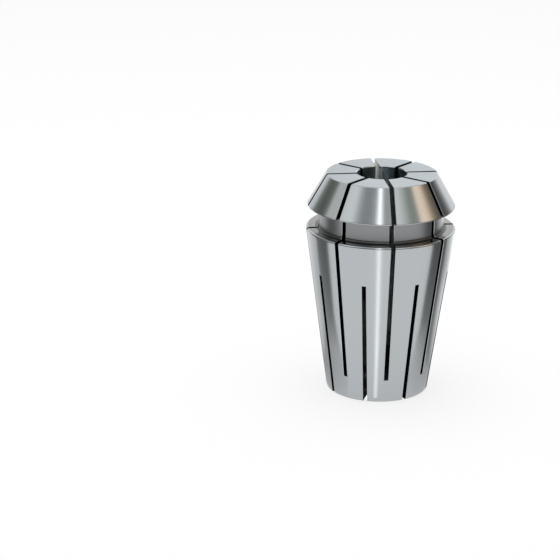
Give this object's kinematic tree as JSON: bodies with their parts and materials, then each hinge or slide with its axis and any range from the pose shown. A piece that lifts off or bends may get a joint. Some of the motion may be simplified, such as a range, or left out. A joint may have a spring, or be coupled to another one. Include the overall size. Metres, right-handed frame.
{
  "type": "tap collet",
  "caption": "Slotted steel collet with a tapered body and coned head, a round bore that clamps a tap's shank and a square socket that drives its square end.",
  "frame": {"origin": "centre of the rear face, where the axis meets it", "axes": "+Z along the axis from the rear face to the front face, +X through the middle of one rear slot and square to one flat of the socket"},
  "size_m": [0.021, 0.021, 0.0315],
  "materials": {
    "ground_steel": "hardened steel, finely ground on the cones, bore and front face, turned in the groove, sawn in the slots"
  },
  "bodies": {
    "root": {"collet": "ground_steel"}
  },
  "joints": []
}
